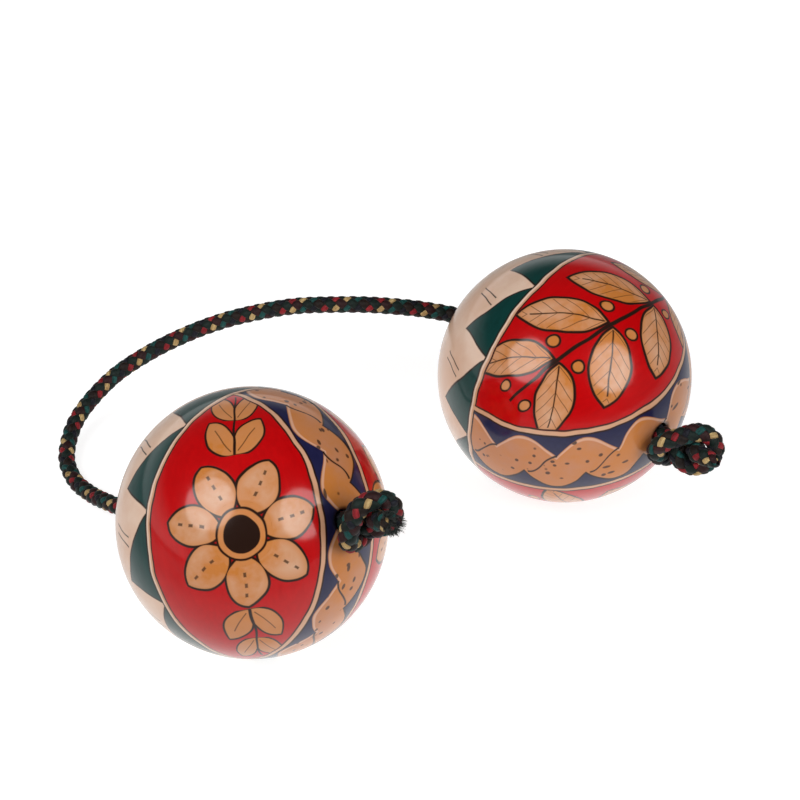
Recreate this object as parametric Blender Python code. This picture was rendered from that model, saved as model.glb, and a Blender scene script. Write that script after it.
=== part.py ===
# Kashaka: two hollow gourd rattles threaded on one braided cord.
# Metres, +Z up, origin on the floor midway between the gourds, +X from the left gourd to the right one.
import math

import bmesh
import bpy
import numpy as np
from mathutils import Matrix, Vector

# gourds
GOURD_DIAMETER = 0.0600
GOURD_WALL = 0.0025
GOURD_SPACING = 0.0876
REST_FLAT_DEPTH = 0.00025
HOLE_CHAMFER = 0.0005

# cord
CORD_DIAMETER = 0.0040
CORD_CLEARANCE = 0.0003
KNOT_SPACING = 1.15 * CORD_DIAMETER
KNOT_CORD_DIAMETER = 0.95 * CORD_DIAMETER

# the line each gourd is threaded on, pointing out of its knot hole (azimuth, elevation in degrees)
LEFT_LINE = (-72.0, 30.0)
RIGHT_LINE = (-81.0, 1.0)

# bare neck of cord between gourd and knot, roll of the knot about its line, tail beyond the knot
LEFT_NECK = 0.0
RIGHT_NECK = 0.0005
LEFT_KNOT_ROLL = 90.0
RIGHT_KNOT_ROLL = 30.0
TAIL_LINKS = 4

# seeds
SEED_DIAMETER = 0.0070
SEED_WALL_GAP = 0.0005
SEED_RING_COUNT = 7
SEED_GAP = 0.0006

# free stretch of cord from the right gourd round to the left one, in millimetres, chosen by hand
CORD_ROUTE = [
    (34.0, 36.6, 30.0), (29.3, 40.2, 31.1), (20.4, 46.2, 32.4), (12.6, 52.2, 32.2), (6.0, 58.8, 30.5),
    (-0.6, 65.0, 27.7), (-7.4, 71.0, 24.2), (-15.0, 76.2, 20.1), (-24.0, 80.3, 15.5), (-34.0, 82.1, 10.8),
    (-45.3, 79.3, 6.0), (-53.0, 72.0, 3.0), (-55.7, 63.8, 2.2), (-55.9, 55.1, 3.8), (-55.3, 44.5, 7.8),
]

# mesh fineness
ROUND_STEPS = 40
OUTER_STEPS = 22
INNER_STEPS = 18
CORD_SIDES = 10
CORD_RING_STEP = 0.0027
KNOT_LINK = 0.32
KNOT_POINTS = 96

RADIUS = GOURD_DIAMETER / 2
CORD_RADIUS = CORD_DIAMETER / 2
CENTRE_HEIGHT = RADIUS - REST_FLAT_DEPTH
PIVOT_REACH = RADIUS + CORD_RADIUS + CORD_CLEARANCE


def clear_scene():
    for obj in list(bpy.data.objects):
        bpy.data.objects.remove(obj, do_unlink=True)


def material(name, colour, roughness):
    mat = bpy.data.materials.new(name)
    mat.use_nodes = True
    shader = mat.node_tree.nodes["Principled BSDF"]
    shader.inputs["Base Color"].default_value = (*colour, 1.0)
    shader.inputs["Roughness"].default_value = roughness
    return mat


def add_object(name, verts, faces, mat):
    mesh = bpy.data.meshes.new(name)
    mesh.from_pydata([tuple(v) for v in verts], [], faces)
    work = bmesh.new()
    work.from_mesh(mesh)
    bmesh.ops.recalc_face_normals(work, faces=work.faces)
    work.to_mesh(mesh)
    work.free()
    mesh.materials.append(mat)
    obj = bpy.data.objects.new(name, mesh)
    bpy.context.scene.collection.objects.link(obj)
    return obj


def line_direction(angles):
    azimuth, elevation = (math.radians(a) for a in angles)
    return Vector((math.cos(elevation) * math.cos(azimuth), math.cos(elevation) * math.sin(azimuth),
                   math.sin(elevation)))


def line_frame(centre, direction, roll=0.0):
    # local +Z runs along the given direction
    turn = Vector((0, 0, 1)).rotation_difference(direction).to_matrix().to_4x4()
    return Matrix.Translation(centre) @ turn @ Matrix.Rotation(math.radians(roll), 4, 'Z')


def shell_profile():
    # closed loop (radius, height): outer face, knot hole, inner face, mouth hole
    inside = RADIUS - GOURD_WALL
    hole = CORD_RADIUS + CORD_CLEARANCE
    rim = math.asin((hole + HOLE_CHAMFER) / RADIUS)
    lip = math.asin(hole / inside)
    loop = []
    for k in range(OUTER_STEPS + 1):
        a = rim + (math.pi - 2 * rim) * k / OUTER_STEPS
        loop.append((RADIUS * math.sin(a), RADIUS * math.cos(a)))
    edge = RADIUS * math.cos(rim) - HOLE_CHAMFER
    loop.append((hole, -edge))
    for k in range(INNER_STEPS + 1):
        a = math.pi - lip - (math.pi - 2 * lip) * k / INNER_STEPS
        loop.append((inside * math.sin(a), inside * math.cos(a)))
    loop.append((hole, edge))
    return loop


def gourd_shell(name, centre, direction, mat):
    loop = shell_profile()
    frame = line_frame(centre, direction)
    verts = []
    for s in range(ROUND_STEPS):
        turn = 2 * math.pi * s / ROUND_STEPS
        for radius, height in loop:
            verts.append(frame @ Vector((radius * math.cos(turn), radius * math.sin(turn), height)))
    count = len(loop)
    faces = []
    for s in range(ROUND_STEPS):
        here = s * count
        there = (s + 1) % ROUND_STEPS * count
        for k in range(count):
            after = (k + 1) % count
            faces.append((here + k, here + after, there + after, there + k))
    shell = add_object(name, verts, faces, mat)
    cut_rest_flat(shell, centre)
    return shell


def cut_rest_flat(shell, centre):
    # a worn flat under the gourd, level with the floor
    half = RADIUS / 2
    corners = [(x, y, z) for x in (-half, half) for y in (-half, half) for z in (-half, 0.0)]
    verts = [Vector((centre.x + x, centre.y + y, z)) for x, y, z in corners]
    faces = [(0, 1, 3, 2), (4, 6, 7, 5), (0, 4, 5, 1), (2, 3, 7, 6), (0, 2, 6, 4), (1, 5, 7, 3)]
    cutter = add_object(shell.name + "_flat_cutter", verts, faces, shell.data.materials[0])
    cutter.hide_render = True
    cutter.display_type = 'WIRE'
    cut = shell.modifiers.new("rest flat", 'BOOLEAN')
    cut.operation = 'DIFFERENCE'
    cut.solver = 'EXACT'
    cut.object = cutter


def tube(name, points, radius, mat, round_start=False, round_end=False):
    # sweep a round section along the points without twist, ends flat or round
    pts = [Vector(p) for p in points]
    tangents = []
    for k in range(len(pts)):
        before = pts[max(k - 1, 0)]
        after = pts[min(k + 1, len(pts) - 1)]
        tangents.append((after - before).normalized())
    side = tangents[0].orthogonal().normalized()
    rings = []
    for k, (p, t) in enumerate(zip(pts, tangents)):
        if k:
            side = tangents[k - 1].rotation_difference(t) @ side
        side = (side - t * side.dot(t)).normalized()
        rings.append((p, side.copy(), t.cross(side), radius))
    if round_start:
        rings = round_cap(rings[0], -tangents[0], radius)[::-1] + rings
    if round_end:
        rings = rings + round_cap(rings[-1], tangents[-1], radius)
    verts = []
    for p, a, b, r in rings:
        for s in range(CORD_SIDES):
            turn = 2 * math.pi * s / CORD_SIDES
            verts.append(p + (a * math.cos(turn) + b * math.sin(turn)) * r)
    faces = []
    for k in range(len(rings) - 1):
        for s in range(CORD_SIDES):
            here = k * CORD_SIDES
            after = (s + 1) % CORD_SIDES
            faces.append((here + s, here + after, here + CORD_SIDES + after, here + CORD_SIDES + s))
    faces.append(tuple(range(CORD_SIDES)))
    faces.append(tuple(range((len(rings) - 1) * CORD_SIDES, len(rings) * CORD_SIDES)))
    return add_object(name, verts, faces, mat)


def round_cap(ring, outward, radius):
    p, a, b, _ = ring
    caps = []
    for angle in (30, 55, 78):
        lift = math.radians(angle)
        caps.append((p + outward * radius * math.sin(lift), a, b, radius * math.cos(lift)))
    return caps


def spline(points, step):
    # smooth curve through every point, sampled at an even step
    pts = [np.array(p) for p in points]
    pts = [2 * pts[0] - pts[1]] + pts + [2 * pts[-1] - pts[-2]]
    dense = []
    for p0, p1, p2, p3 in zip(pts, pts[1:], pts[2:], pts[3:]):
        for t in np.linspace(0, 1, 24, endpoint=False):
            dense.append(0.5 * (2 * p1 + (p2 - p0) * t + (2 * p0 - 5 * p1 + 4 * p2 - p3) * t ** 2
                                + (3 * p1 - p0 - 3 * p2 + p3) * t ** 3))
    dense.append(pts[-2])
    return even(np.array(dense), step)


def even(points, step):
    along = np.concatenate([[0.0], np.cumsum(np.linalg.norm(np.diff(points, axis=0), axis=1))])
    count = max(int(round(along[-1] / step)), 2)
    marks = np.linspace(0, along[-1], count + 1)
    return np.stack([np.interp(marks, along, points[:, k]) for k in range(3)], axis=1)


def loose_overhand():
    # an open overhand knot drawn loosely, in units of the strand spacing
    t = np.linspace(-2.25, 2.25, 2000)
    path = np.stack([0.75 * (t ** 3 - 3 * t), 0.42 * (t ** 4 - 4 * t ** 2), 0.55 * (t ** 5 / 5 - 2 * t)], axis=1)
    length = np.linalg.norm(np.diff(path, axis=0), axis=1).sum()
    path = path * KNOT_LINK * (KNOT_POINTS - 1) / length
    marks = np.concatenate([[0.0], np.cumsum(np.linalg.norm(np.diff(path, axis=0), axis=1))])
    at = np.linspace(0, marks[-1], KNOT_POINTS)
    return np.stack([np.interp(at, marks, path[:, k]) for k in range(3)], axis=1)


def pull_tight(path, pulls=300, pull=0.03, rounds=30, skip=5):
    # draw the ends apart while links keep their length and strands keep one spacing apart
    first, second = np.triu_indices(len(path), skip)
    axis = path[-1] - path[0]
    axis = axis / np.linalg.norm(axis)
    for _ in range(pulls):
        path[0] -= pull * axis
        path[-1] += pull * axis
        for _ in range(rounds):
            for odd in (0, 1):
                a = path[odd:-1:2]
                b = path[odd + 1::2]
                pairs = min(len(a), len(b))
                a, b = a[:pairs], b[:pairs]
                gap = b - a
                length = np.linalg.norm(gap, axis=1, keepdims=True)
                mend = gap * (0.5 * (length - KNOT_LINK) / length)
                a += mend
                b -= mend
            path[1:-1] += 0.15 * (0.5 * (path[:-2] + path[2:]) - path[1:-1])
            gap = path[first] - path[second]
            length = np.linalg.norm(gap, axis=1)
            near = length < 1.0
            push = gap[near] / length[near][:, None] * (0.25 * (1.0 - length[near]))[:, None]
            np.add.at(path, first[near], push)
            np.add.at(path, second[near], -push)
    return path


def overhand_knot():
    # tight knot with the standing part on local +Z, cut one link row before and after the turns
    path = pull_tight(loose_overhand())
    start = path[0]
    axis = (path[-1] - start) / np.linalg.norm(path[-1] - start)
    height = (path - start) @ axis
    turns = [k for k in range(1, len(path) - 1) if (path[k + 1] - path[k]) @ axis < 0.55 * KNOT_LINK]
    enter, leave = turns[0], turns[-1]
    lead = (path[enter - 4] - path[enter - 9]) / np.linalg.norm(path[enter - 4] - path[enter - 9])
    turn = Vector(lead).rotation_difference(Vector((0, 0, 1))).to_matrix()
    base = path[enter - 5]
    knot = [turn @ Vector((p - base) * KNOT_SPACING) for p in path[enter - 5:leave + TAIL_LINKS + 4]]
    return knot, height[leave] - height[enter]


def seat_knot(knot, centre, direction, neck, roll):
    # slide the knot along its line until its turns clear the gourd, then run the neck back to the hole
    reach = RADIUS + CORD_CLEARANCE + neck + KNOT_CORD_DIAMETER / 2
    low, high = 0.0, 3 * RADIUS
    for _ in range(60):
        mid = (low + high) / 2
        nearest = min((p + Vector((0, 0, mid))).length for p in knot[8:])
        if nearest < reach:
            low = mid
        else:
            high = mid
    seated = [p + Vector((0, 0, high)) for p in knot]
    hole_end = Vector((0, 0, RADIUS + CORD_CLEARANCE))
    seated = [p for p in seated if p.z > hole_end.z + 0.0008]
    frame = line_frame(centre, direction, roll)
    return [frame @ p for p in [hole_end] + seated]


def least_self_gap(points, diameter):
    pts = even(np.array(points), 0.0005)
    far = int(2.2 * diameter / 0.0005)
    best = 1.0
    for k in range(len(pts) - far):
        best = min(best, np.linalg.norm(pts[k + far:] - pts[k], axis=1).min())
    return best - diameter


def seed(name, position, mat):
    verts = []
    faces = []
    rings, around = 5, 10
    radius = SEED_DIAMETER / 2
    for k in range(rings):
        a = math.pi * (k + 1) / (rings + 1)
        for s in range(around):
            turn = 2 * math.pi * s / around
            verts.append(position + Vector((math.sin(a) * math.cos(turn), math.sin(a) * math.sin(turn),
                                            math.cos(a))) * radius)
    top = len(verts)
    verts.append(position + Vector((0, 0, radius)))
    verts.append(position - Vector((0, 0, radius)))
    for s in range(around):
        after = (s + 1) % around
        faces.append((top, s, after))
        for k in range(rings - 1):
            faces.append((k * around + s, (k + 1) * around + s, (k + 1) * around + after, k * around + after))
        faces.append((top + 1, (rings - 1) * around + after, (rings - 1) * around + s))
    return add_object(name, verts, faces, mat)


def seed_places(centre):
    # one seed at the lowest point of the hollow, the others in a ring around it
    reach = RADIUS - GOURD_WALL - SEED_DIAMETER / 2 - SEED_WALL_GAP
    places = [centre + Vector((0, 0, -reach))]
    tilt = math.asin((SEED_DIAMETER + SEED_GAP) / (2 * reach * math.sin(math.pi / SEED_RING_COUNT)))
    for k in range(SEED_RING_COUNT):
        turn = 2 * math.pi * (k + 0.25) / SEED_RING_COUNT
        places.append(centre + Vector((math.sin(tilt) * math.cos(turn), math.sin(tilt) * math.sin(turn),
                                       -math.cos(tilt))) * reach)
    return places


def split_route(route):
    # two halves that meet at the middle, the right half standing one clearance off the left half's round end
    along = np.concatenate([[0.0], np.cumsum(np.linalg.norm(np.diff(route, axis=0), axis=1))])
    middle = along[-1] / 2
    stop = middle - CORD_RADIUS - CORD_CLEARANCE

    def at(mark):
        return np.array([np.interp(mark, along, route[:, k]) for k in range(3)])

    right = np.vstack([route[along < stop - 0.0003], at(stop)])
    left = np.vstack([at(middle), route[along > middle + 0.0003]])
    return right, left, at(middle), along[-1]


clear_scene()
gourd_mat = material("varnished gourd", (0.45, 0.08, 0.04), 0.3)
cord_mat = material("braided cord", (0.03, 0.06, 0.06), 0.8)
seed_mat = material("dry seed", (0.20, 0.11, 0.05), 0.5)

left_centre = Vector((-GOURD_SPACING / 2, 0, CENTRE_HEIGHT))
right_centre = Vector((GOURD_SPACING / 2, 0, CENTRE_HEIGHT))
left_line = line_direction(LEFT_LINE)
right_line = line_direction(RIGHT_LINE)
knot_path, knot_depth = overhand_knot()

sides = [
    ("left", left_centre, left_line, LEFT_NECK, LEFT_KNOT_ROLL),
    ("right", right_centre, right_line, RIGHT_NECK, RIGHT_KNOT_ROLL),
]
pivots = {}
for side_name, centre, line, neck, roll in sides:
    gourd_shell("gourd_shell_" + side_name, centre, line, gourd_mat)
    inner = [centre + line * RADIUS * k for k in (-1.0, -0.5, 0.0, 0.5, 1.0)]
    tube("cord_inner_" + side_name, inner, CORD_RADIUS, cord_mat)
    seated = seat_knot(knot_path, centre, line, neck, roll)
    tube("stopper_knot_" + side_name, seated, KNOT_CORD_DIAMETER / 2, cord_mat, round_end=True)
    print(side_name, "knot least self gap mm", round(1000 * least_self_gap(seated, KNOT_CORD_DIAMETER), 3),
          "rings", len(seated))
    for number, place in enumerate(seed_places(centre), start=1):
        seed(f"seed_{side_name}_{number:02d}", place, seed_mat)
    pivots[side_name] = centre - line * PIVOT_REACH
    print(side_name, "cord pivot", [round(v, 5) for v in pivots[side_name]], "line", [round(v, 5) for v in line])

route_points = [tuple(pivots["right"])] + [tuple(v / 1000 for v in p) for p in CORD_ROUTE] + [tuple(pivots["left"])]
route = spline(route_points, CORD_RING_STEP)
right_half, left_half, fold_point, free_length = split_route(route)
tube("cord_span_right", right_half, CORD_RADIUS, cord_mat, round_start=True)
tube("cord_span_left", left_half, CORD_RADIUS, cord_mat, round_start=True, round_end=True)
print("fold point", [round(float(v), 5) for v in fold_point], "free cord mm", round(1000 * float(free_length), 1))
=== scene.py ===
# Looks of the kashaka: painted, varnished gourds and a round braided cord with overhand stopper knots.
import math
import random

import bpy
import numpy as np
from mathutils import Matrix, Vector


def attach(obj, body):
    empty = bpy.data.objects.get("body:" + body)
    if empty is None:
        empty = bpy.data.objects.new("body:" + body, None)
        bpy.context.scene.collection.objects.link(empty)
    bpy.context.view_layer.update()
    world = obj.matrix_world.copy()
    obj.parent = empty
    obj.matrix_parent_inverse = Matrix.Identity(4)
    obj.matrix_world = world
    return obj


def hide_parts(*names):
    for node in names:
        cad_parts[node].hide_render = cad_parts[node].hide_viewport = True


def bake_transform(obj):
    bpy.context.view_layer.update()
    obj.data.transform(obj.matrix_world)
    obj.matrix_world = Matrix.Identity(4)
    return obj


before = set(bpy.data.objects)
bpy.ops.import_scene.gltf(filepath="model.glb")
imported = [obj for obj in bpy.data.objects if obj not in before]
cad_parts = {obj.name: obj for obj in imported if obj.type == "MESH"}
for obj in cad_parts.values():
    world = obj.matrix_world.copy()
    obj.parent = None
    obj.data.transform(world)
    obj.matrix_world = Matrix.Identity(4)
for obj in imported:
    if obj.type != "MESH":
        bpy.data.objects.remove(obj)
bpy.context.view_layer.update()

# sizes shared with the part's source, in metres and degrees
GOURD_RADIUS = 0.030
GOURD_WALL = 0.0025
GOURD_SPACING = 0.0876
REST_FLAT_DEPTH = 0.00025
HOLE_CHAMFER = 0.0005
CORD_DIAMETER = 0.0040
CORD_CLEARANCE = 0.0003
KNOT_SPACING = 1.15 * CORD_DIAMETER
KNOT_CORD_DIAMETER = 0.95 * CORD_DIAMETER
LEFT_LINE = (-72.0, 30.0)
RIGHT_LINE = (-81.0, 1.0)
LEFT_NECK = 0.0
RIGHT_NECK = 0.0005
LEFT_KNOT_ROLL = 90.0
RIGHT_KNOT_ROLL = 30.0
TAIL_LINKS = 4
KNOT_LINK = 0.32
KNOT_POINTS = 96

# route of the free cord from the right gourd to the left one, in millimetres
CORD_ROUTE = [
    (34.0, 36.6, 30.0), (29.3, 40.2, 31.1), (20.4, 46.2, 32.4), (12.6, 52.2, 32.2), (6.0, 58.8, 30.5),
    (-0.6, 65.0, 27.7), (-7.4, 71.0, 24.2), (-15.0, 76.2, 20.1), (-24.0, 80.3, 15.5), (-34.0, 82.1, 10.8),
    (-45.3, 79.3, 6.0), (-53.0, 72.0, 3.0), (-55.7, 63.8, 2.2), (-55.9, 55.1, 3.8), (-55.3, 44.5, 7.8),
]

# braid
BRAID_PITCH = 0.01075
BRAID_ROLL = 16.5
BRAID_SHIFT = 0.00445
BRAID_STEP = 0.00032
BRAID_RADIUS = 0.00212
STRANDS_EACH_WAY = 4
STRAND_HALF_WIDTHS = (0.00070, 0.00108)
STRAND_HALF_THICKNESS = 0.00042
STRAND_WEAVE = 0.00026
STRAND_SIDES = 8

# knots are fuller than the cord, and the right tail is drawn to a blunt point
KNOT_SWELL = 1.08
KNOT_LENGTH = 0.044
SWELL_RAMP = 0.006
TAPER_LENGTH = 0.0055
TAPER_TIP = 0.34

# frayed left tail
TUFT_CLUMPS = 34
TUFT_FILAMENTS = 612
TUFT_LENGTH = 0.0018
TUFT_SPREAD = 0.0022
TUFT_SINK = 0.0010
TUFT_SEED = 5
FILAMENT_RADIUS = 0.00013
FILAMENT_SHARES = (0.0, 0.4, 0.75, 1.0)

# how far the drawn cord bends beside its hinges, and how it is parted
MOUTH_EASE = (0.003, 0.010)
END_STRETCH = 0.040

# painted layout of each gourd, in degrees:
# a saw edge behind a stripe round the cord's line, and a belt through the hole
LEFT_LAYOUT = {
    "saw_axis": (0.157, -0.872, 0.463), "saw_edge": 7.3, "saw_start": -12.0,
    "belt_axis": (-0.917, -0.086, 0.390), "belt_middle": -2.0, "belt_half": 14.2, "belt_start": -2.4,
}
RIGHT_LAYOUT = {
    "saw_axis": (0.234, -0.972, -0.024), "saw_edge": -8.9, "saw_start": 7.0,
    "belt_axis": (-0.126, -0.044, 0.991), "belt_middle": 2.6, "belt_half": 17.5, "belt_start": -5.1,
}
SAW_TEETH = 9
BELT_WAVES = 13
CAP_PETALS = 9

# painted sizes, in millimetres
SAW_DEPTH = 11.0
MOTIF_HALF_WIDTH = 19.6
STRIPE_HALF_WIDTH = 0.56
STRIPE_LINE = 0.42
STRIPE_LINE_OFFSET = 0.18
STRIPE_CLEARANCE = 0.3
ENTRY_CAP = 20.0
CAP_LINE = 0.42
LEAF_LINE = 0.62
LEAF_TOAST = 3.4
SOFT_EDGE = 0.22
PANEL_EASE = 0.3

# paint colours
RED = (0.57, 0.0015, 0.003)
GREEN = (0.002, 0.028, 0.025)
NAVY = (0.010, 0.009, 0.040)
RED_STREAK = tuple(0.72 * c for c in RED)
GREEN_STREAK = (0.004, 0.052, 0.046)
NAVY_STREAK = (0.017, 0.018, 0.070)
PALE_TAN = (0.64, 0.37, 0.235)
ENTRY_TAN = (0.79, 0.575, 0.445)
BELT_TAN = (0.51, 0.215, 0.105)
RIM_TAN = (0.72, 0.46, 0.34)
ORANGE_TAN = (0.55, 0.19, 0.04)
INK = (0.020, 0.008, 0.005)

# lights of the studio, in metres and watts
SOFTBOX_PLACES = {"softbox_left": (-0.46, -0.03, 0.49), "softbox_right": (0.17, -0.50, 0.40)}
SOFTBOX_SIZE = 0.46
SOFTBOX_POWER = 2.5
FILL_PLACE = (-0.15, -0.25, 1.3)
FILL_SIZE = 1.6
FILL_POWER = 2.6
LIGHT_TARGET = (0.0, 0.02, 0.03)
FLOOR_HALF = 3.0

# camera, fitted to the photograph
CAMERA_PLACE = (-0.2339, -0.32325, 0.3784)
CAMERA_TARGET = (0.00678, 0.01506, 0.030)
CAMERA_LENS = 104.3

CENTRE_HEIGHT = GOURD_RADIUS - REST_FLAT_DEPTH
PIVOT_REACH = GOURD_RADIUS + CORD_DIAMETER / 2 + CORD_CLEARANCE


# curves and knots

def line_direction(angles):
    azimuth, elevation = (math.radians(a) for a in angles)
    return Vector((math.cos(elevation) * math.cos(azimuth), math.cos(elevation) * math.sin(azimuth),
                   math.sin(elevation)))


def line_frame(centre, direction, roll=0.0):
    turn = Vector((0, 0, 1)).rotation_difference(direction).to_matrix().to_4x4()
    return Matrix.Translation(centre) @ turn @ Matrix.Rotation(math.radians(roll), 4, 'Z')


def lengths_along(points):
    return np.concatenate([[0.0], np.cumsum(np.linalg.norm(np.diff(points, axis=0), axis=1))])


def spline(points, step):
    # smooth curve through every point, sampled at an even step
    pts = [np.array(p) for p in points]
    pts = [2 * pts[0] - pts[1]] + pts + [2 * pts[-1] - pts[-2]]
    dense = []
    for p0, p1, p2, p3 in zip(pts, pts[1:], pts[2:], pts[3:]):
        for t in np.linspace(0, 1, 24, endpoint=False):
            dense.append(0.5 * (2 * p1 + (p2 - p0) * t + (2 * p0 - 5 * p1 + 4 * p2 - p3) * t ** 2
                                + (3 * p1 - p0 - 3 * p2 + p3) * t ** 3))
    dense = np.array(dense + [pts[-2]])
    along = lengths_along(dense)
    marks = np.linspace(0, along[-1], int(round(along[-1] / step)) + 1)
    return np.stack([np.interp(marks, along, dense[:, k]) for k in range(3)], axis=1)


def loose_overhand():
    # an open overhand knot drawn loosely, in units of the strand spacing
    t = np.linspace(-2.25, 2.25, 2000)
    x = 0.75 * (t ** 3 - 3 * t)
    y = 0.42 * (t ** 4 - 4 * t ** 2)
    z = 0.55 * (t ** 5 / 5 - 2 * t)
    path = np.stack([x, y, z], axis=1)
    path = path * KNOT_LINK * (KNOT_POINTS - 1) / lengths_along(path)[-1]
    marks = lengths_along(path)
    at = np.linspace(0, marks[-1], KNOT_POINTS)
    return np.stack([np.interp(at, marks, path[:, k]) for k in range(3)], axis=1)


def pull_tight(path, pulls=300, pull=0.03, rounds=30, skip=5):
    # draw the ends apart while links keep their length and strands keep one spacing apart
    first, second = np.triu_indices(len(path), skip)
    axis = path[-1] - path[0]
    axis = axis / np.linalg.norm(axis)
    for _ in range(pulls):
        path[0] -= pull * axis
        path[-1] += pull * axis
        for _ in range(rounds):
            for odd in (0, 1):
                a = path[odd:-1:2]
                b = path[odd + 1::2]
                pairs = min(len(a), len(b))
                a, b = a[:pairs], b[:pairs]
                gap = b - a
                length = np.linalg.norm(gap, axis=1, keepdims=True)
                mend = gap * (0.5 * (length - KNOT_LINK) / length)
                a += mend
                b -= mend
            path[1:-1] += 0.15 * (0.5 * (path[:-2] + path[2:]) - path[1:-1])
            gap = path[first] - path[second]
            length = np.linalg.norm(gap, axis=1)
            near = length < 1.0
            push = gap[near] / length[near][:, None] * (0.25 * (1.0 - length[near]))[:, None]
            np.add.at(path, first[near], push)
            np.add.at(path, second[near], -push)
    return path


def overhand_knot():
    # tight knot with the standing part on local +Z
    path = pull_tight(loose_overhand())
    axis = (path[-1] - path[0]) / np.linalg.norm(path[-1] - path[0])
    turns = [k for k in range(1, len(path) - 1) if (path[k + 1] - path[k]) @ axis < 0.55 * KNOT_LINK]
    enter, leave = turns[0], turns[-1]
    lead = (path[enter - 4] - path[enter - 9]) / np.linalg.norm(path[enter - 4] - path[enter - 9])
    turn = Vector(lead).rotation_difference(Vector((0, 0, 1))).to_matrix()
    base = path[enter - 5]
    return [turn @ Vector((p - base) * KNOT_SPACING) for p in path[enter - 5:leave + TAIL_LINKS + 4]]


def seat_knot(knot, centre, direction, neck, roll):
    # slide the knot along its line until its turns clear the gourd
    reach = GOURD_RADIUS + CORD_CLEARANCE + neck + KNOT_CORD_DIAMETER / 2
    low, high = 0.0, 3 * GOURD_RADIUS
    for _ in range(60):
        mid = (low + high) / 2
        nearest = min((p + Vector((0, 0, mid))).length for p in knot[8:])
        if nearest < reach:
            low = mid
        else:
            high = mid
    hole_end = Vector((0, 0, GOURD_RADIUS + CORD_CLEARANCE))
    seated = [p + Vector((0, 0, high)) for p in knot]
    seated = [p for p in seated if p.z > hole_end.z + 0.0008]
    turned = line_frame(centre, direction, roll)
    return [turned @ p for p in [hole_end] + seated]


left_centre = Vector((-GOURD_SPACING / 2, 0, CENTRE_HEIGHT))
right_centre = Vector((GOURD_SPACING / 2, 0, CENTRE_HEIGHT))
left_line = line_direction(LEFT_LINE)
right_line = line_direction(RIGHT_LINE)
left_pivot = left_centre - left_line * PIVOT_REACH
right_pivot = right_centre - right_line * PIVOT_REACH


def cord_centreline():
    # the whole cord from the right tail to the left tail
    knot = overhand_knot()
    through = (-1.0, -0.6, -0.2, 0.2, 0.6, 0.9)
    right_end = [tuple(p) for p in seat_knot(knot, right_centre, right_line, RIGHT_NECK, RIGHT_KNOT_ROLL)]
    right_inside = [tuple(right_centre + right_line * GOURD_RADIUS * k) for k in through]
    left_inside = [tuple(left_centre + left_line * GOURD_RADIUS * k) for k in through]
    left_end = [tuple(p) for p in seat_knot(knot, left_centre, left_line, LEFT_NECK, LEFT_KNOT_ROLL)]
    free = [tuple(v / 1000 for v in p) for p in CORD_ROUTE]
    points = right_end[::-1] + right_inside[::-1] + [tuple(right_pivot)] + free
    points += [tuple(left_pivot)] + left_inside + left_end
    return spline(points, BRAID_STEP)


def transported_frames(path):
    # side and up directions along the path that never twist about it
    tangents = np.gradient(path, axis=0)
    tangents /= np.linalg.norm(tangents, axis=1, keepdims=True)
    side = Vector(tangents[0]).orthogonal().normalized()
    sides = []
    for k in range(len(path)):
        t = Vector(tangents[k])
        if k:
            side = Vector(tangents[k - 1]).rotation_difference(t) @ side
        side = (side - t * side.dot(t)).normalized()
        sides.append(tuple(side))
    sides = np.array(sides)
    return sides, np.cross(tangents, sides)


# shader arithmetic, so that painted patterns read as formulas

class Value:
    def __init__(self, tree, socket):
        self.tree = tree
        self.socket = socket

    def apply(self, operation, *others):
        node = self.tree.nodes.new("ShaderNodeMath")
        node.operation = operation
        for socket, value in zip(node.inputs, (self,) + others):
            if isinstance(value, Value):
                self.tree.links.new(value.socket, socket)
            else:
                socket.default_value = value
        return Value(self.tree, node.outputs[0])

    def __add__(self, other):
        return self.apply('ADD', other)

    def __sub__(self, other):
        return self.apply('SUBTRACT', other)

    def __mul__(self, other):
        return self.apply('MULTIPLY', other)

    def __truediv__(self, other):
        return self.apply('DIVIDE', other)

    def __neg__(self):
        return self.apply('MULTIPLY', -1.0)

    __radd__ = __add__
    __rmul__ = __mul__

    def __rsub__(self, other):
        return (-self).apply('ADD', other)


def size_of(v):
    return v.apply('ABSOLUTE')


def sine(v):
    return v.apply('SINE')


def cosine(v):
    return v.apply('COSINE')


def lesser(a, b):
    return a.apply('MINIMUM', b)


def greater(a, b):
    return a.apply('MAXIMUM', b)


def wrapped(v, period):
    return v.apply('FLOORED_MODULO', period)


def distance(a, b):
    return (a * a + b * b).apply('SQRT')


def inside(signed, soft=SOFT_EDGE):
    # 1 where the signed distance in millimetres is negative, with a hand-painted soft edge
    mask = 0.5 - signed / soft
    mask.socket.node.use_clamp = True
    return mask


def stroke(signed, width):
    return inside(size_of(signed) - width / 2)


def either(*masks):
    found = masks[0]
    for mask in masks[1:]:
        found = greater(found, mask)
    return found


def toasted(signed, depth):
    # 1 at the edge of a shape, fading to 0 as far inside it as depth
    mask = signed / depth + 1.0
    mask.socket.node.use_clamp = True
    return mask


def lens(along, across, length, half_width):
    # signed distance to a pointed leaf that starts at along = 0
    half = length / 2
    radius = (half * half + half_width * half_width) / (2 * half_width)
    offset = radius - half_width
    return distance(along - half, size_of(across) + offset) - radius


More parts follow.
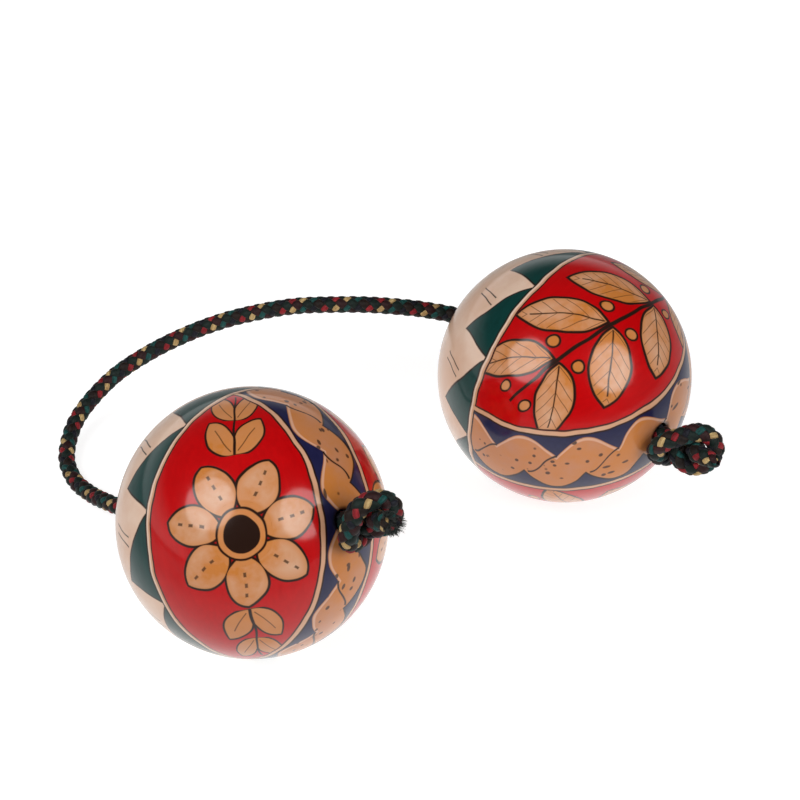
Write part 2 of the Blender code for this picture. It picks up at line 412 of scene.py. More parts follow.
class Paint:
    # a node material with one shader and helpers that add colour layers

    def __init__(self, name):
        self.material = bpy.data.materials.new(name)
        self.material.use_nodes = True
        self.tree = self.material.node_tree
        self.shader = self.tree.nodes["Principled BSDF"]

    def node(self, kind, inputs=None, **settings):
        node = self.tree.nodes.new(kind)
        for key, value in settings.items():
            setattr(node, key, value)
        for key, value in (inputs or {}).items():
            self.feed(node.inputs[key], value)
        return node

    def feed(self, socket, value):
        if isinstance(value, Value):
            self.tree.links.new(value.socket, socket)
        elif isinstance(value, bpy.types.NodeSocket):
            self.tree.links.new(value, socket)
        elif isinstance(value, tuple) and len(value) == 3 and socket.type == 'RGBA':
            socket.default_value = (*value, 1.0)
        else:
            socket.default_value = value

    def place(self):
        return self.node("ShaderNodeTexCoord").outputs["Object"]

    def vector(self, operation, inputs):
        return self.node("ShaderNodeVectorMath", inputs, operation=operation).outputs[0]

    def along(self, vector, axis):
        node = self.node("ShaderNodeVectorMath", {0: vector, 1: tuple(axis)}, operation='DOT_PRODUCT')
        return Value(self.tree, node.outputs["Value"])

    def noise(self, vector, scale, detail=2.0, roughness=0.5):
        node = self.node("ShaderNodeTexNoise", {"Vector": vector, "Scale": scale, "Detail": detail,
                                                "Roughness": roughness})
        return Value(self.tree, node.outputs[0]), node.outputs["Color"]

    def mix(self, base, layer, mask):
        node = self.node("ShaderNodeMix", data_type='RGBA')
        self.feed(node.inputs[0], mask)
        self.feed(node.inputs[6], base)
        self.feed(node.inputs[7], layer)
        return node.outputs[2]

    def bump(self, height, strength, distance_m):
        node = self.node("ShaderNodeBump", {"Height": height, "Strength": strength, "Distance": distance_m})
        self.tree.links.new(node.outputs[0], self.shader.inputs["Normal"])


# painted gourds

def between(v, low, high):
    # negative where the value lies between the two
    return greater(low - v, v - high)


def slimmed(v, narrow):
    # widens the drawing's own measure where the panel gets narrow, so that leaves fit in
    return v / (PANEL_EASE + (1.0 - PANEL_EASE) * narrow)


def leaning(reach, climb, degrees):
    # along and across a leaf that leans out from its stem
    lean = math.radians(degrees)
    along = reach * math.sin(lean) + climb * math.cos(lean)
    across = reach * math.cos(lean) - climb * math.sin(lean)
    return along, across


def rosette(u, v, narrow):
    # seven pointed petals round a dark disc, with leafy sprays above and below, in millimetres
    petals, petal_start, petal_length, petal_half_width = 7, 4.6, 13.6, 4.9
    dash_repeat, dash_half_length, dash_half_width = 2.7, 0.55, 0.34
    dash_from, dash_to = 7.4, 15.6
    disc_radius, ring_radius, ring_line = 4.4, 5.9, 0.55
    spray_from, spray_height, spray_repeat, spray_lean = 18.6, 20.6, 10.4, 40
    spray_length, spray_half_width, spray_line = 13.0, 3.6, 0.58
    rib_half_width, rib_from, rib_to = 0.15, 1.5, 9.5
    stem_half_width, thin_ink = 0.4, 0.8
    toast_radius, toast_depth = 7.4, 2.0

    radius = distance(u, v)
    turn = v.apply('ARCTAN2', u)
    petal = 2 * math.pi / petals
    fold = wrapped(turn + petal / 2 - math.pi / 2, petal) - petal / 2
    along = radius * cosine(fold)
    across = radius * sine(fold)
    leaf = lens(along - petal_start, across, petal_length, petal_half_width)
    dashes = size_of(wrapped(along, dash_repeat) - dash_repeat / 2) - dash_half_length
    dashes = greater(dashes, between(along, dash_from, dash_to))
    dashes = greater(size_of(across) - dash_half_width, dashes)
    disc = radius - disc_radius
    ring = radius - ring_radius

    beyond = size_of(v) - spray_from
    valid = inside(between(beyond, 0.0, spray_height))
    reach = slimmed(size_of(u), narrow)
    spray_along, spray_across = leaning(reach, wrapped(beyond, spray_repeat), spray_lean)
    spray = lens(spray_along, spray_across, spray_length, spray_half_width)
    spray_rib = greater(size_of(spray_across) - rib_half_width, between(spray_along, rib_from, rib_to))
    spray_ink = either(stroke(spray, spray_line), inside(reach - stem_half_width),
                       inside(spray_rib) * thin_ink)

    tan = either(inside(leaf), inside(ring), inside(spray) * valid)
    outline = stroke(leaf, LEAF_LINE) * (1.0 - inside(ring))
    ink = either(outline, inside(disc), stroke(ring, ring_line), inside(dashes) * thin_ink, spray_ink * valid)
    return tan, ink, either(toasted(leaf, LEAF_TOAST), toasted(toast_radius - radius, toast_depth))


def branch(u, v, narrow):
    # a wavy stem with paired pointed leaves, veins and berries, in millimetres
    wave_length, wave_height = 13.0, 1.8
    leaf_repeat, leaf_shift, leaf_lean = 14.0, 43.0, 50
    leaf_start, leaf_length, leaf_half_width = 0.8, 18.5, 4.4
    branch_middle, branch_half = -1.0, 28.0
    rib_half_width, rib_from, rib_to = 0.16, 1.5, 16.5
    vein_repeat, vein_slant, vein_half_width, vein_margin, vein_ink = 3.1, 1.3, 0.13, 0.5, 0.75
    berry_reach, berry_climb, berry_radius, berry_line = 3.9, 12.0, 1.4, 0.5
    stem_half_width = 0.45

    reach = size_of(slimmed(u - sine(v / wave_length) * wave_height, narrow))
    climb = wrapped(v + leaf_shift, leaf_repeat)
    along, across = leaning(reach, climb, leaf_lean)
    valid = inside(size_of(v - branch_middle) - branch_half)
    leaf = lens(along - leaf_start, across, leaf_length, leaf_half_width)
    rib = greater(size_of(across) - rib_half_width, between(along, rib_from, rib_to))
    vein = size_of(wrapped(along - size_of(across) * vein_slant, vein_repeat) - vein_repeat / 2)
    vein = greater(vein - vein_half_width, leaf + vein_margin)
    berry = distance(reach - berry_reach, climb - berry_climb) - berry_radius
    tan = either(inside(leaf), inside(berry)) * valid
    ink = either(stroke(leaf, LEAF_LINE), inside(rib), inside(vein) * vein_ink, stroke(berry, berry_line),
                 inside(reach - stem_half_width))
    return tan, ink * valid, toasted(leaf, LEAF_TOAST)


def wave_band(across, along, half):
    # a ribbon of overlapping leaves: its two edges wave half a repeat apart,
    # and a line parts each leaf from the next
    skew, edge_share, wave_share, edge_slope = 1.2, 0.30, 0.54, 1.3
    parting_slope, parting_half_width = 1.4, 0.21
    far_line, far_toast, rim_inset, rim_line = 0.46, 5.0, 0.4, 0.5

    repeat = 2 * math.pi * GOURD_RADIUS * 1000 / BELT_WAVES
    share = wrapped(along, repeat) / repeat
    skewed = share.apply('POWER', skew)
    near = (edge_share + wave_share * size_of(sine(skewed * math.pi))) * half
    far = (edge_share + wave_share * size_of(cosine(skewed * math.pi))) * half
    near_edge = (across - near) / edge_slope
    far_edge = (-far - across) / edge_slope
    ribbon = greater(near_edge, far_edge)
    parting = size_of(across - cosine(share * (2 * math.pi)) * (edge_share * half)) / parting_slope
    parting = greater(parting - parting_half_width, (share - 0.5) * repeat)
    ink = either(stroke(far_edge, far_line) * inside(near_edge), inside(parting))
    rim = stroke(near_edge + rim_inset, rim_line) * inside(far_edge)
    return inside(ribbon), ink, toasted(far_edge, far_toast), rim


def saw_band(back, climb, repeat):
    # large saw teeth behind a stripe, each with a pair of short strokes
    rise_share, fall_curve, fall_slope, tooth_line = 0.2, 0.8, 1.25, 0.42
    pair_apart, pair_half_width, pair_middle, pair_half_length = 1.0, 0.17, 11.0, 3.3

    steep = SAW_DEPTH / (rise_share * repeat)
    rise = (climb * steep - back) / math.hypot(1.0, steep)
    fall = ((1.0 - climb / repeat) / (1.0 - rise_share)).apply('POWER', fall_curve) * SAW_DEPTH
    fin = lesser(rise, (fall - back) / fall_slope)
    lean = wrapped(climb - back / steep, repeat)
    pair = size_of(size_of(lean - 0.5 * repeat) - pair_apart) - pair_half_width
    pair = greater(pair, size_of(back - pair_middle) - pair_half_length)
    return inside(fin), either(stroke(fin, tooth_line), inside(pair))


def cap_petals(turn, radius):
    # a ring of plain petals, in millimetres
    start, length, half_width = 5.5, 12.0, 3.3
    petal = 2 * math.pi / CAP_PETALS
    fold = wrapped(turn, petal) - petal / 2
    return lens(radius * cosine(fold) - start, radius * sine(fold), length, half_width)


def burnt_marks(paint, front, aside, forward):
    # scattered dots and dashes: how dense across and along the belt, and how large
    marks = []
    for cross, lengthwise, size in ((0.40, 0.11, 0.17), (0.24, 0.22, 0.13)):
        spread = paint.node("ShaderNodeCombineXYZ",
                            {0: front * cross, 1: aside * cross, 2: forward * lengthwise})
        cells = paint.node("ShaderNodeTexVoronoi",
                           {"Vector": spread.outputs[0], "Scale": 1.0, "Randomness": 0.9})
        marks.append(inside(Value(paint.tree, cells.outputs["Distance"]) - size, soft=0.05))
    return either(*marks)


def gourd_paint(name, line, layout, motif, seed_shift):
    paint = Paint(name)
    place = paint.place()
    ball = GOURD_RADIUS * 1000
    degree = ball * math.pi / 180

    # points that waver as a painter's hand does
    waver = 0.0015
    shifted = paint.vector('ADD', {0: place, 1: (seed_shift, seed_shift, 0.0)})
    _, wobble = paint.noise(shifted, scale=130.0, detail=1.0)
    wobble = paint.vector('SUBTRACT', {0: wobble, 1: (0.5, 0.5, 0.5)})
    wobble = paint.vector('SCALE', {0: wobble, "Scale": waver})
    hand = paint.vector('ADD', {0: place, 1: wobble})

    # directions that the layout is drawn from
    saw_axis = Vector(layout["saw_axis"]).normalized()
    belt_axis = Vector(layout["belt_axis"]).normalized()
    front_axis = (line - belt_axis * line.dot(belt_axis)).normalized()
    saw_side = (belt_axis - saw_axis * saw_axis.dot(belt_axis)).normalized()
    front = paint.along(hand, front_axis) * 1000.0
    forward = paint.along(hand, front_axis.cross(belt_axis)) * 1000.0
    aside = paint.along(hand, belt_axis) * 1000.0
    on_line = paint.along(hand, line) * 1000.0
    radius = (front * front + forward * forward + aside * aside).apply('SQRT')

    # saw edge: how far behind its stripe, and how far round
    saw_repeat = 2 * math.pi * ball / SAW_TEETH
    on_saw = paint.along(hand, saw_axis) * 1000.0
    back = layout["saw_edge"] * degree - (on_saw / radius).apply('ARCSINE') * ball
    round_turn = paint.along(hand, saw_axis.cross(saw_side)).apply('ARCTAN2', paint.along(hand, saw_side))
    climb = wrapped(layout["saw_start"] * degree - round_turn * ball, saw_repeat)
    behind = inside(-back)

    # belt through the cord hole
    belt_half = layout["belt_half"] * degree
    across = (aside / radius).apply('ARCSINE') * ball - layout["belt_middle"] * degree
    along = forward.apply('ARCTAN2', front) * ball - layout["belt_start"] * degree
    belt = inside(size_of(across) - belt_half) * (1.0 - behind)

    # red panels on both sides of the belt, one the mirror image of the other
    panel_outer = 90.0 - layout["saw_edge"]
    panel_middle = (layout["belt_half"] + panel_outer) / 2
    panel_half = (panel_outer - layout["belt_half"]) / 2 * degree
    latitude = (forward / radius).apply('ARCSINE')
    narrow = cosine(latitude)
    longitude = aside.apply('ARCTAN2', front) * (180 / math.pi)
    panel_u = (size_of(longitude - layout["belt_middle"]) - panel_middle) * narrow * degree
    scale = panel_half / MOTIF_HALF_WIDTH
    panel = (1.0 - behind) * (1.0 - belt)

    # red cap with a ring of petals round the hole where the cord goes in
    entry = (on_line / radius).apply('ARCSINE') * ball + 90.0 * degree
    cap = inside(entry - ENTRY_CAP)
    petals = cap_petals(aside.apply('ARCTAN2', forward), entry)

    motif_tan, motif_ink, motif_toast = motif(panel_u / scale, latitude * (ball / scale), narrow)
    belt_tan, belt_ink, belt_toast, belt_rim = wave_band(across, along, belt_half)
    saw_tan, saw_ink = saw_band(back, climb, saw_repeat)
    saw = behind * (1.0 - cap)

    # stripes where two fields meet, with a burnt line on both sides
    belt_edge = greater(size_of(size_of(across) - belt_half), back)
    edge = lesser(lesser(size_of(back), belt_edge), size_of(entry - ENTRY_CAP))
    clear = inside(STRIPE_HALF_WIDTH + STRIPE_CLEARANCE - edge)
    stripe = inside(edge - STRIPE_HALF_WIDTH)
    tan = (motif_tan * panel + belt_tan * belt + saw_tan * saw + inside(petals) * cap) * clear
    ink = (motif_ink * panel + belt_ink * belt + saw_ink * saw + stroke(petals, CAP_LINE) * cap) * clear
    tan = either(tan, stripe)
    ink = either(ink, stroke(edge - STRIPE_HALF_WIDTH - STRIPE_LINE_OFFSET, STRIPE_LINE))
    marks_ink = 0.85
    marks = burnt_marks(paint, front, aside, forward) * belt_tan * belt * clear
    ink = either(ink, marks * marks_ink)

    # bare skin goes from pale to orange, most of all toward burnt edges
    mottle, _ = paint.noise(shifted, scale=62.0, detail=4.0, roughness=0.6)
    fine, _ = paint.noise(place, scale=900.0, detail=3.0, roughness=0.6)
    mottle_mask = (mottle - 0.36) * 4.2 + (fine - 0.5) * 0.4
    mottle_mask.socket.node.use_clamp = True
    mottle_mask = mottle_mask * (1.0 - 0.75 * stripe) * (1.0 - 0.7 * behind)
    toast = (motif_toast * panel + belt_toast * belt) * clear * (0.38 + mottle * 0.9)
    skin = paint.mix(paint.mix(PALE_TAN, ENTRY_TAN, behind), BELT_TAN, belt * (1.0 - stripe))
    skin = paint.mix(skin, ORANGE_TAN, either(mottle_mask, toast))
    skin = paint.mix(skin, RIM_TAN, belt_rim * belt * clear * 0.6)

    # paint has faint brush streaks along the belt
    streaks = paint.node("ShaderNodeCombineXYZ", {0: forward * 0.12, 1: aside * 0.9, 2: front * 0.9})
    streak, _ = paint.noise(streaks.outputs[0], scale=1.0, detail=3.0, roughness=0.55)
    red = paint.mix(RED, RED_STREAK, streak)
    navy = paint.mix(NAVY, NAVY_STREAK, streak)
    green = paint.mix(GREEN, GREEN_STREAK, streak)
    ground = paint.mix(paint.mix(red, navy, belt), green, saw)
    colour = paint.mix(paint.mix(ground, skin, tan), INK, ink)

    # dark ring round each cord hole: a burnt rim, and painted shade where the cord goes in
    hole_shade_rim = 2.9
    hole = (radius * radius - on_line.apply('POWER', 2.0)).apply('SQRT')
    colour = paint.mix(colour, INK, inside(hole - hole_shade_rim, soft=0.9))

    # varnish over slightly uneven skin, with lines that sink in
    paint.feed(paint.shader.inputs["Base Color"], colour)
    paint.feed(paint.shader.inputs["Roughness"], 0.34 + (fine - 0.5) * 0.12 + ink * 0.10)
    paint.shader.inputs["Specular IOR Level"].default_value = 0.05
    paint.shader.inputs["Coat Weight"].default_value = 0.78
    paint.shader.inputs["Coat Roughness"].default_value = 0.12
    paint.shader.inputs["Coat IOR"].default_value = 1.5
    dents, _ = paint.noise(place, scale=60.0, detail=2.0)
    height = dents * 0.7 + streak * 0.06 - ink * 0.10 - tan * 0.04
    paint.bump(height, strength=0.35, distance_m=0.0006)
    return paint.material


def mesh_object(name, verts, faces, mats, mat_index=None, uvs=None):
    mesh = bpy.data.meshes.new(name)
    mesh.from_pydata(verts, [], faces)
    for mat in mats:
        mesh.materials.append(mat)
    if mat_index is not None:
        mesh.polygons.foreach_set("material_index", mat_index)
    if uvs is not None:
        layer = mesh.uv_layers.new(name="lay")
        layer.data.foreach_set("uv", np.array(uvs, dtype=np.float32).ravel())
    mesh.polygons.foreach_set("use_smooth", [True] * len(mesh.polygons))
    mesh.update()
    obj = bpy.data.objects.new(name, mesh)
    bpy.context.scene.collection.objects.link(obj)
    return obj


def shell_profile(outer_steps, inner_steps):
    # closed loop (radius, height): outer face, mouth hole, inner face, knot hole
    inner_radius = GOURD_RADIUS - GOURD_WALL
    hole = CORD_DIAMETER / 2 + CORD_CLEARANCE
    rim = math.asin((hole + HOLE_CHAMFER) / GOURD_RADIUS)
    lip = math.asin(hole / inner_radius)
    edge = GOURD_RADIUS * math.cos(rim) - HOLE_CHAMFER
    loop = []
    for k in range(outer_steps + 1):
        a = rim + (math.pi - 2 * rim) * k / outer_steps
        loop.append((GOURD_RADIUS * math.sin(a), GOURD_RADIUS * math.cos(a)))
    loop.append((hole, -edge))
    for k in range(inner_steps + 1):
        a = math.pi - lip - (math.pi - 2 * lip) * k / inner_steps
        loop.append((inner_radius * math.sin(a), inner_radius * math.cos(a)))
    loop.append((hole, edge))
    return loop


def gourd(name, centre, line, mat, body, node):
    # hollow shell turned about the cord's line, level underneath where it rests
    turn = line_frame((0, 0, 0), line)
    loop = shell_profile(outer_steps=96, inner_steps=24)
    steps = 144
    verts = []
    for s in range(steps):
        angle = 2 * math.pi * s / steps
        for radius, height in loop:
            p = turn @ Vector((radius * math.cos(angle), radius * math.sin(angle), height))
            p.z = max(p.z, -centre.z)
            verts.append(tuple(p))
    count = len(loop)
    faces = []
    for s in range(steps):
        here = s * count
        there = (s + 1) % steps * count
        for k in range(count):
            after = (k + 1) % count
            faces.append((here + k, here + after, there + after, there + k))
    obj = mesh_object(name, verts, faces, [mat])
    obj.location = centre
    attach(obj, body)
    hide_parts(node)


# braided cord

def yarn_material(name, colour, deep):
    paint = Paint(name)
    place = paint.place()
    lay = paint.node("ShaderNodeTexCoord").outputs["UV"]
    lanes = paint.node("ShaderNodeMapping", {"Vector": lay, "Scale": (260.0, 9.0, 1.0)})
    fibre, _ = paint.noise(lanes.outputs[0], scale=1.0, detail=3.0, roughness=0.6)
    fuzz, _ = paint.noise(place, scale=5200.0, detail=2.0, roughness=0.6)
    patch, _ = paint.noise(place, scale=420.0, detail=2.0)
    mask = (fibre - 0.35) * 1.5 + (patch - 0.5) * 0.8
    mask.socket.node.use_clamp = True
    paint.feed(paint.shader.inputs["Base Color"], paint.mix(deep, colour, mask))
    paint.feed(paint.shader.inputs["Roughness"], 0.62 + (fuzz - 0.5) * 0.3)
    paint.shader.inputs["Sheen Weight"].default_value = 0.06
    paint.shader.inputs["Sheen Roughness"].default_value = 0.4
    paint.shader.inputs["Specular IOR Level"].default_value = 0.25
    paint.bump(fibre * 0.8 + fuzz * 0.3, strength=0.55, distance_m=0.00016)
    return paint.material


def braid(name, path, sides, ups, start, stop, swell, mats, colours):
    # strands wind both ways round the path and pass over and under each other
    verts, faces, mat_index, uvs = [], [], [], []
    middle = BRAID_RADIUS - STRAND_HALF_THICKNESS - STRAND_WEAVE
    span = np.arange(start, stop)
    s = span * BRAID_STEP + BRAID_SHIFT
    grow = swell[span]
    for carrier in range(2 * STRANDS_EACH_WAY):
        way = -1 if carrier % 2 == 0 else 1
        half_width = STRAND_HALF_WIDTHS[carrier % 2]
        first = 2 * math.pi * (carrier // 2) / STRANDS_EACH_WAY + math.radians(BRAID_ROLL)
        turn = first + way * 2 * math.pi * s / BRAID_PITCH
        lift = way * np.cos(2 * math.pi * STRANDS_EACH_WAY * s / BRAID_PITCH)
        radial = sides[span] * np.cos(turn)[:, None] + ups[span] * np.sin(turn)[:, None]
        centre = path[span] + radial * ((middle + STRAND_WEAVE * lift) * grow)[:, None]
        run = np.gradient(centre, axis=0)
        run /= np.linalg.norm(run, axis=1, keepdims=True)
        across = np.cross(run, radial)
        across /= np.linalg.norm(across, axis=1, keepdims=True)
        out = np.cross(across, run)
        base = len(verts)
        for k in range(len(span)):
            for side in range(STRAND_SIDES):
                a = 2 * math.pi * side / STRAND_SIDES
                offset = across[k] * (math.cos(a) * half_width * grow[k])
                offset = offset + out[k] * (math.sin(a) * STRAND_HALF_THICKNESS * grow[k])
                verts.append(tuple(centre[k] + offset))
        for k in range(len(span) - 1):
            here = base + k * STRAND_SIDES
            there = here + STRAND_SIDES
            for side in range(STRAND_SIDES):
                after = (side + 1) % STRAND_SIDES
                faces.append((here + side, here + after, there + after, there + side))
                mat_index.append(colours[carrier])
                a, b = side / STRAND_SIDES, (side + 1) / STRAND_SIDES
                uvs += [(s[k], a), (s[k], b), (s[k + 1], b), (s[k + 1], a)]
        for row, flip in ((0, True), (len(span) - 1, False)):
            cap = [base + row * STRAND_SIDES + side for side in range(STRAND_SIDES)]
            faces.append(tuple(cap[::-1] if flip else cap))
            mat_index.append(colours[carrier])
            uvs += [(s[row], 0.5)] * STRAND_SIDES
    return mesh_object(name, verts, faces, mats, mat_index, uvs)


def fibres(name, place, outward, mat):
    # a tuft of cut filaments in ragged clumps, each filament a thin bent three-sided spike
    corners = 3
    rng = random.Random(TUFT_SEED)
    side = outward.orthogonal().normalized()
    up = outward.cross(side)
    verts, faces = [], []
    clumps = []
    for _ in range(TUFT_CLUMPS):
        angle = rng.uniform(0, 2 * math.pi)
        radius = math.sqrt(rng.random())
        way = (side * math.cos(angle) + up * math.sin(angle)) * radius
        clumps.append((way, TUFT_LENGTH * rng.uniform(0.55, 1.0)))
    for k in range(TUFT_FILAMENTS):
        way, clump_length = clumps[k % TUFT_CLUMPS]
        stray = side * rng.uniform(-1.0, 1.0) + up * rng.uniform(-1.0, 1.0)
        root = place + way * TUFT_SPREAD * 0.8 + stray * TUFT_SPREAD * 0.30
        reach = clump_length * rng.uniform(0.75, 1.0)
        lean = way * 0.75
        curl = stray * 0.12
        base = len(verts)
        for ring, share in enumerate(FILAMENT_SHARES):
            p = root + outward * reach * share + lean * reach * share ** 1.5 + curl * reach * share ** 2
            width = FILAMENT_RADIUS * (1.0 - 0.75 * share)
            for corner in range(corners):
                a = 2 * math.pi * corner / corners
                verts.append(tuple(p + (side * math.cos(a) + up * math.sin(a)) * width))
            if ring:
                low = base + (ring - 1) * corners
                high = low + corners
                for corner in range(corners):
                    after = (corner + 1) % corners
                    faces.append((low + corner, low + after, high + after, high + corner))
        tip = len(verts) - corners
        faces.append((base + 2, base + 1, base))
        faces.append((tip, tip + 1, tip + 2))
    return mesh_object(name, verts, faces, [mat])


# build the object
left_paint = gourd_paint("paint_left", left_line, LEFT_LAYOUT, rosette, 0.0)
right_paint = gourd_paint("paint_right", right_line, RIGHT_LAYOUT, branch, 0.37)
gourd("gourd_left", left_centre, left_line, left_paint, "gourd_left", "gourd_shell_left")
gourd("gourd_right", right_centre, right_line, right_paint, "gourd_right", "gourd_shell_right")

yarns = [
    yarn_material("yarn_red", (0.42, 0.022, 0.030), (0.16, 0.006, 0.010)),
    yarn_material("yarn_cream", (0.72, 0.55, 0.26), (0.34, 0.21, 0.08)),
    yarn_material("yarn_teal", (0.010, 0.120, 0.105), (0.003, 0.036, 0.034)),
    yarn_material("yarn_navy", (0.010, 0.012, 0.022), (0.003, 0.003, 0.007)),
    yarn_material("yarn_black_green", (0.007, 0.022, 0.017), (0.002, 0.007, 0.005)),
    yarn_material("yarn_maroon", (0.046, 0.010, 0.011), (0.014, 0.003, 0.003)),
    yarn_material("yarn_brown", (0.022, 0.011, 0.006), (0.007, 0.003, 0.002)),
]
# one way: teal, cream, red, navy; the other way: dark green, maroon, dark green, brown
CARRIER_COLOURS = [2, 4, 1, 5, 0, 4, 3, 6]

path = cord_centreline()


def nearest_sample(point):
    return int(np.argmin(np.linalg.norm(path - np.array(point), axis=1)))


def ease_turn(first, last):
    # one smooth turn in place of the corner between two samples
    t = np.linspace(0.0, 1.0, last - first + 1)[:, None]
    leave = (path[first + 1] - path[first - 1]) / 2 * (last - first)
    arrive = (path[last + 1] - path[last - 1]) / 2 * (last - first)
    from_first = (2 * t ** 3 - 3 * t ** 2 + 1) * path[first] + (t ** 3 - 2 * t ** 2 + t) * leave
    from_last = (3 * t ** 2 - 2 * t ** 3) * path[last] + (t ** 3 - t ** 2) * arrive
    path[first:last + 1] = from_first + from_last


right_mark = nearest_sample(right_pivot)
left_mark = nearest_sample(left_pivot)
inner_ease, outer_ease = (int(reach / BRAID_STEP) for reach in MOUTH_EASE)
ease_turn(right_mark - inner_ease, right_mark + outer_ease)
ease_turn(left_mark - outer_ease, left_mark + inner_ease)
sides, ups = transported_frames(path)
along = lengths_along(path)
stretch = int(END_STRETCH / BRAID_STEP)


def knot_swell(near_end):
    # fuller in the knots, where the braid bunches up, and drawn to a blunt point at the right tail
    full = np.ones(len(near_end))
    far_end = near_end[-1] - near_end
    for reach in (near_end, far_end):
        full += (KNOT_SWELL - 1.0) * np.clip((KNOT_LENGTH - reach) / SWELL_RAMP, 0.0, 1.0)
    tip = np.clip(near_end / TAPER_LENGTH, 0.0, 1.0)
    return full * (TAPER_TIP + (1.0 - TAPER_TIP) * np.sqrt(tip * (2.0 - tip)))


swell = knot_swell(along)

pieces = {}
ranges = {
    "cord_end_right": (0, right_mark + 1),
    "cord_right": (right_mark, right_mark + stretch + 1),
    "cord_middle": (right_mark + stretch, left_mark - stretch + 1),
    "cord_left": (left_mark - stretch, left_mark + 1),
    "cord_end_left": (left_mark, len(path)),
}
for piece_name, (start, stop) in ranges.items():
    pieces[piece_name] = braid(piece_name, path, sides, ups, start, stop, swell, yarns, CARRIER_COLOURS)

for side_name in ("left", "right"):
    end = pieces["cord_end_" + side_name]
    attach(end, "threaded_cord_" + side_name)
    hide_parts("cord_inner_" + side_name, "stopper_knot_" + side_name)
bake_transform(pieces["cord_right"])
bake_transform(pieces["cord_left"])
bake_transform(pieces["cord_middle"])
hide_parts("cord_span_left")
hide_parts("cord_span_right")

tuft_mat = yarn_material("yarn_tuft", (0.17, 0.18, 0.17), (0.025, 0.030, 0.027))
tail = Vector(path[-1])
tail_way = (tail - Vector(path[-12])).normalized()
tuft = fibres("tuft_left", tail - tail_way * TUFT_SINK, tail_way, tuft_mat)
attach(tuft, "threaded_cord_left")

for piece_name in ("cord_right", "cord_middle", "cord_left"):
    start, stop = ranges[piece_name]


def seed_material():
    paint = Paint("dry_seed")
    grain, _ = paint.noise(paint.place(), scale=900.0, detail=4.0, roughness=0.6)
    paint.feed(paint.shader.inputs["Base Color"], paint.mix((0.10, 0.05, 0.02), (0.32, 0.19, 0.09), grain))
    paint.feed(paint.shader.inputs["Roughness"], 0.35 + grain * 0.3)
    paint.bump(grain, strength=0.3, distance_m=0.0002)
    return paint.material


# seeds keep their solids and get a dry, grained skin
seed_mat = seed_material()
for node_name, node_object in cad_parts.items():
    if node_name.startswith("seed"):
        node_object.data.materials.clear()
        node_object.data.materials.append(seed_mat)


# stage

def floor_material():
    paint = Paint("glowing_floor")
    grain, _ = paint.noise(paint.place(), scale=40.0, detail=3.0)
    paint.feed(paint.shader.inputs["Base Color"], paint.mix((0.40, 0.40, 0.40), (0.43, 0.43, 0.43), grain))
    paint.shader.inputs["Roughness"].default_value = 0.9
    paint.shader.inputs["Specular IOR Level"].default_value = 0.1
    paint.shader.inputs["Emission Color"].default_value = (1.0, 1.0, 1.0, 1.0)
    # it glows, lighting the object from close by, and looks white to the camera far out too
    reach = paint.node("ShaderNodeVectorMath", {0: paint.place()}, operation='LENGTH').outputs["Value"]
    pool = paint.node("ShaderNodeMapRange", {"Value": reach, "From Min": 0.05, "From Max": 0.17,
                                             "To Min": 0.82, "To Max": 0.10})
    far_out = paint.node("ShaderNodeMapRange", {"Value": reach, "From Min": 0.15, "From Max": 0.60,
                                                "To Min": 0.82, "To Max": 1.0})
    seen = Value(paint.tree, paint.node("ShaderNodeLightPath").outputs["Is Camera Ray"])
    shown = seen * Value(paint.tree, far_out.outputs[0])
    paint.feed(paint.shader.inputs["Emission Strength"], greater(Value(paint.tree, pool.outputs[0]), shown))
    return paint.material


def area_light(name, place, size, power):
    light = bpy.data.lights.new(name, 'AREA')
    light.shape = 'DISK'
    light.size = size
    light.energy = power
    obj = bpy.data.objects.new(name, light)
    obj.location = place
    obj.rotation_euler = (Vector(LIGHT_TARGET) - Vector(place)).to_track_quat('-Z', 'Y').to_euler()
    obj.visible_camera = False
    bpy.context.scene.collection.objects.link(obj)
    return obj


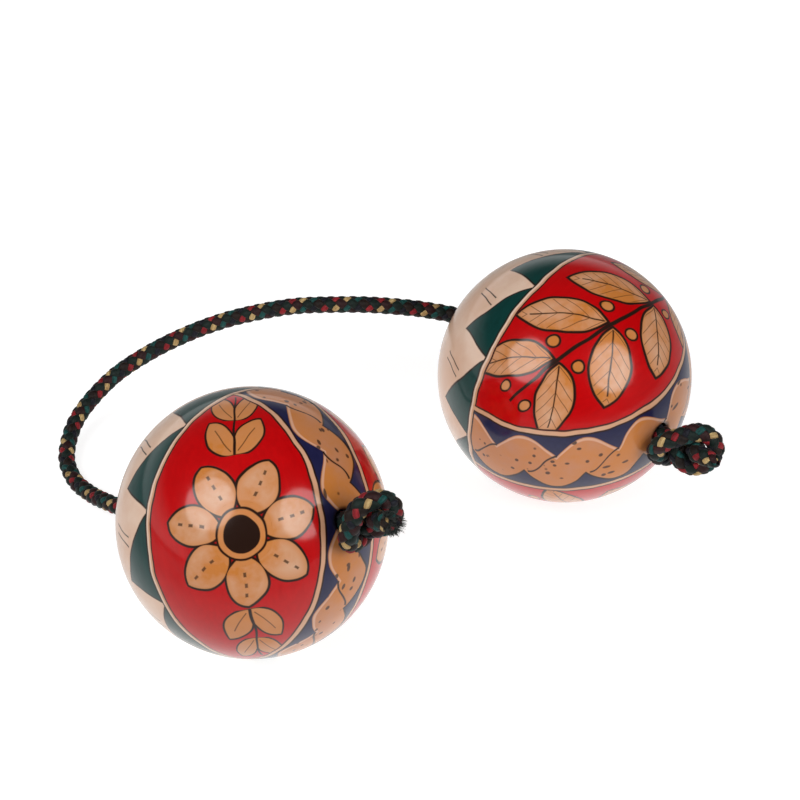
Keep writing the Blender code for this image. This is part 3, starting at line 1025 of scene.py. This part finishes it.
def dimmed(tree, vector, axis, near, far, least):
    # brightness that falls from 1 to least as the view turns toward the axis
    toward = tree.nodes.new("ShaderNodeVectorMath")
    toward.operation = 'DOT_PRODUCT'
    toward.inputs[1].default_value = axis
    span = tree.nodes.new("ShaderNodeMapRange")
    span.inputs["From Min"].default_value = near
    span.inputs["From Max"].default_value = far
    span.inputs["To Min"].default_value = 1.0
    span.inputs["To Max"].default_value = least
    tree.links.new(vector, toward.inputs[0])
    tree.links.new(toward.outputs["Value"], span.inputs["Value"])
    return Value(tree, span.outputs[0])


def studio_walls(tree):
    # white low walls, dim overhead and on the side that the picture is taken from
    background = tree.nodes["Background"]
    background.inputs["Color"].default_value = (1.0, 1.0, 1.0, 1.0)
    around = tree.nodes.new("ShaderNodeTexCoord").outputs["Generated"]
    camera_side = (Vector(CAMERA_PLACE) - Vector(CAMERA_TARGET)).normalized()
    beside = camera_side.cross((0, 0, -1)).normalized()
    level = dimmed(tree, around, camera_side, near=0.45, far=0.80, least=0.05)
    level = level * dimmed(tree, around, (0, 0, 1), near=0.08, far=0.38, least=0.04)
    level = level * dimmed(tree, around, beside, near=0.10, far=0.70, least=0.15)
    seen = Value(tree, tree.nodes.new("ShaderNodeLightPath").outputs["Is Camera Ray"])
    tree.links.new(greater(level, seen).socket, background.inputs["Strength"])


def build_stage():
    half = FLOOR_HALF
    corners = [(-half, -half, 0), (half, -half, 0), (half, half, 0), (-half, half, 0)]
    floor = mesh_object("floor", corners, [(0, 1, 2, 3)], [floor_material()])
    world = bpy.data.worlds.new("studio")
    world.use_nodes = True
    studio_walls(world.node_tree)
    scene = bpy.context.scene
    scene.world = world
    scene.view_settings.view_transform = 'Standard'
    for light_name, place in SOFTBOX_PLACES.items():
        area_light(light_name, place, SOFTBOX_SIZE, SOFTBOX_POWER)
    fill = area_light("overhead_fill", FILL_PLACE, FILL_SIZE, FILL_POWER)
    fill.visible_glossy = False
    camera = bpy.data.cameras.new("camera")
    camera.sensor_width = 36.0
    camera.lens = CAMERA_LENS
    camera_object = bpy.data.objects.new("camera", camera)
    camera_object.location = CAMERA_PLACE
    look = Vector(CAMERA_TARGET) - Vector(CAMERA_PLACE)
    camera_object.rotation_euler = look.to_track_quat('-Z', 'Y').to_euler()
    scene.collection.objects.link(camera_object)
    scene.camera = camera_object


build_stage()
